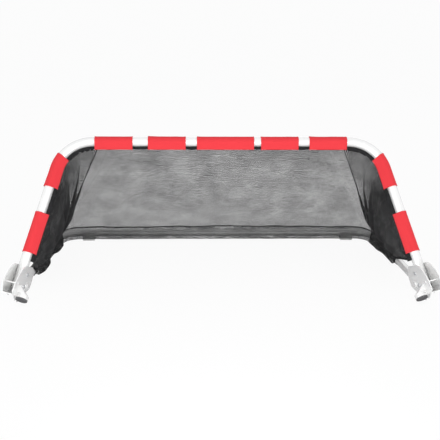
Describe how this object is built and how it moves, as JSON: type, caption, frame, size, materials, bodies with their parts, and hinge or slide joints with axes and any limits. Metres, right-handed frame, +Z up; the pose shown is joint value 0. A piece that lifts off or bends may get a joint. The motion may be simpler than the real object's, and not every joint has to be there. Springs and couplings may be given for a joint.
{
  "type": "hockey goal net",
  "caption": "Low folding hockey goal: leaning bent tube frame with fabric wraps and corner brackets, base frame folding behind it, and a mesh net between them.",
  "frame": {"origin": "on the floor under the middle of the goal, halfway between its foremost and rearmost points", "axes": "+X across the goal, +Y from the mouth to the back of the net, +Z up"},
  "size_m": [1.349, 0.69, 0.4568],
  "materials": {
    "white_enamel": "gloss",
    "wrap_fabric": "woven",
    "net_mesh": "fine mesh",
    "net_binding": "woven",
    "foot_rubber": "matte",
    "knob_plastic": "fine grain",
    "eye_nylon": "satin",
    "zinc_steel": "zinc plated"
  },
  "bodies": {
    "front_frame": {"front_frame_tube": "white_enamel", "left_corner_bracket": "white_enamel", "right_corner_bracket": "white_enamel", "left_foot_cap": "foot_rubber", "right_foot_cap": "foot_rubber", "left_leg_bolts": "zinc_steel", "right_leg_bolts": "zinc_steel", "left_leg_nuts": "zinc_steel", "right_leg_nuts": "zinc_steel", "cheek_rivets": "white_enamel", "top_wrap_far_left": "wrap_fabric", "top_wrap_left": "wrap_fabric", "top_wrap_centre": "wrap_fabric", "top_wrap_right": "wrap_fabric", "top_wrap_far_right": "wrap_fabric", "left_wrap_upper": "wrap_fabric", "left_wrap_lower": "wrap_fabric", "right_wrap_upper": "wrap_fabric", "right_wrap_lower": "wrap_fabric", "net_hem": "net_binding", "net_back": "net_mesh", "net_left": "net_mesh", "net_right": "net_mesh", "left_corner_strap": "net_binding", "right_corner_strap": "net_binding"},
    "base_frame": {"left_base_tube": "white_enamel", "right_base_tube": "white_enamel", "rear_bar": "white_enamel", "left_base_eye": "eye_nylon", "right_base_eye": "eye_nylon", "eye_rivets": "zinc_steel", "left_rear_foot": "foot_rubber", "right_rear_foot": "foot_rubber", "rear_casing": "net_binding", "left_casing": "net_binding", "right_casing": "net_binding"},
    "left_clamp": {"left_knob": "knob_plastic", "left_knob_stud": "zinc_steel"},
    "right_clamp": {"right_knob": "knob_plastic", "right_knob_stud": "zinc_steel"}
  },
  "joints": [
    {"name": "fold", "type": "hinge", "parent": "front_frame", "child": "base_frame", "pos_m": [0, -0.20446, 0.02419], "axis": [1, 0, 0], "range_deg": [0, 56], "deforming": ["net_back", "net_left", "net_right", "left_corner_strap", "right_corner_strap"]},
    {"name": "left_knob_turn", "type": "hinge", "parent": "front_frame", "child": "left_clamp", "pos_m": [-0.63748, -0.20446, 0.02419], "axis": [1, 0, 0], "continuous": true},
    {"name": "right_knob_turn", "type": "hinge", "parent": "front_frame", "child": "right_clamp", "pos_m": [0.63748, -0.20446, 0.02419], "axis": [1, 0, 0], "continuous": true}
  ]
}
